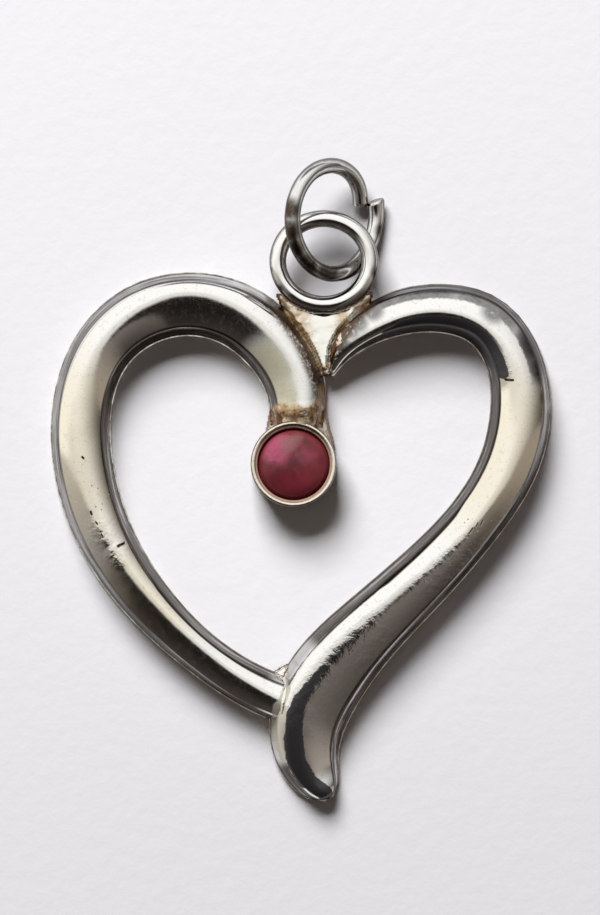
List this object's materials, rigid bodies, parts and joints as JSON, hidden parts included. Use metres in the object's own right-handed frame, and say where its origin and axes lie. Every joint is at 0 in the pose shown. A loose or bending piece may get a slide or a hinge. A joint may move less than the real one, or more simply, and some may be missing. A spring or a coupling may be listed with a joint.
{
  "type": "heart pendant",
  "caption": "Open heart pendant in silver with a red cabochon in a bezel cup, a soldered eye ring and a loose jump ring that leans through it.",
  "frame": {"origin": "centre of the whole part's box in plan, jump ring included, on the flat back at z = 0", "axes": "+Y runs up the heart to the jump ring, +Z comes out of the domed front, +X is to the viewer's right"},
  "size_m": [0.021, 0.027, 0.0037],
  "materials": {
    "silver": "polished silver, worn, with fine scratches and pits",
    "wire": "drawn silver wire, slightly dull",
    "solder": "rough solder with yellow brown tarnish",
    "red_stone": "deep raspberry red, polished, cloudy inside"
  },
  "bodies": {
    "pendant": {"left_arm_shell": "silver", "left_arm_back": "silver", "right_arm_shell": "silver", "right_arm_back": "silver", "bezel_wall": "silver", "bezel_seat": "silver", "stone": "red_stone", "eye_ring": "wire", "eye_solder_web": "solder", "bezel_solder": "solder", "tip_solder": "solder"},
    "jump_ring": {"jump_ring": "wire"}
  },
  "joints": [
    {"name": "jump_ring_lean", "type": "hinge", "parent": "pendant", "child": "jump_ring", "pos_m": [0.00137, 0.01082, 0.00188], "axis": [0, 1, 0], "range_deg": [-2, 105]}
  ]
}
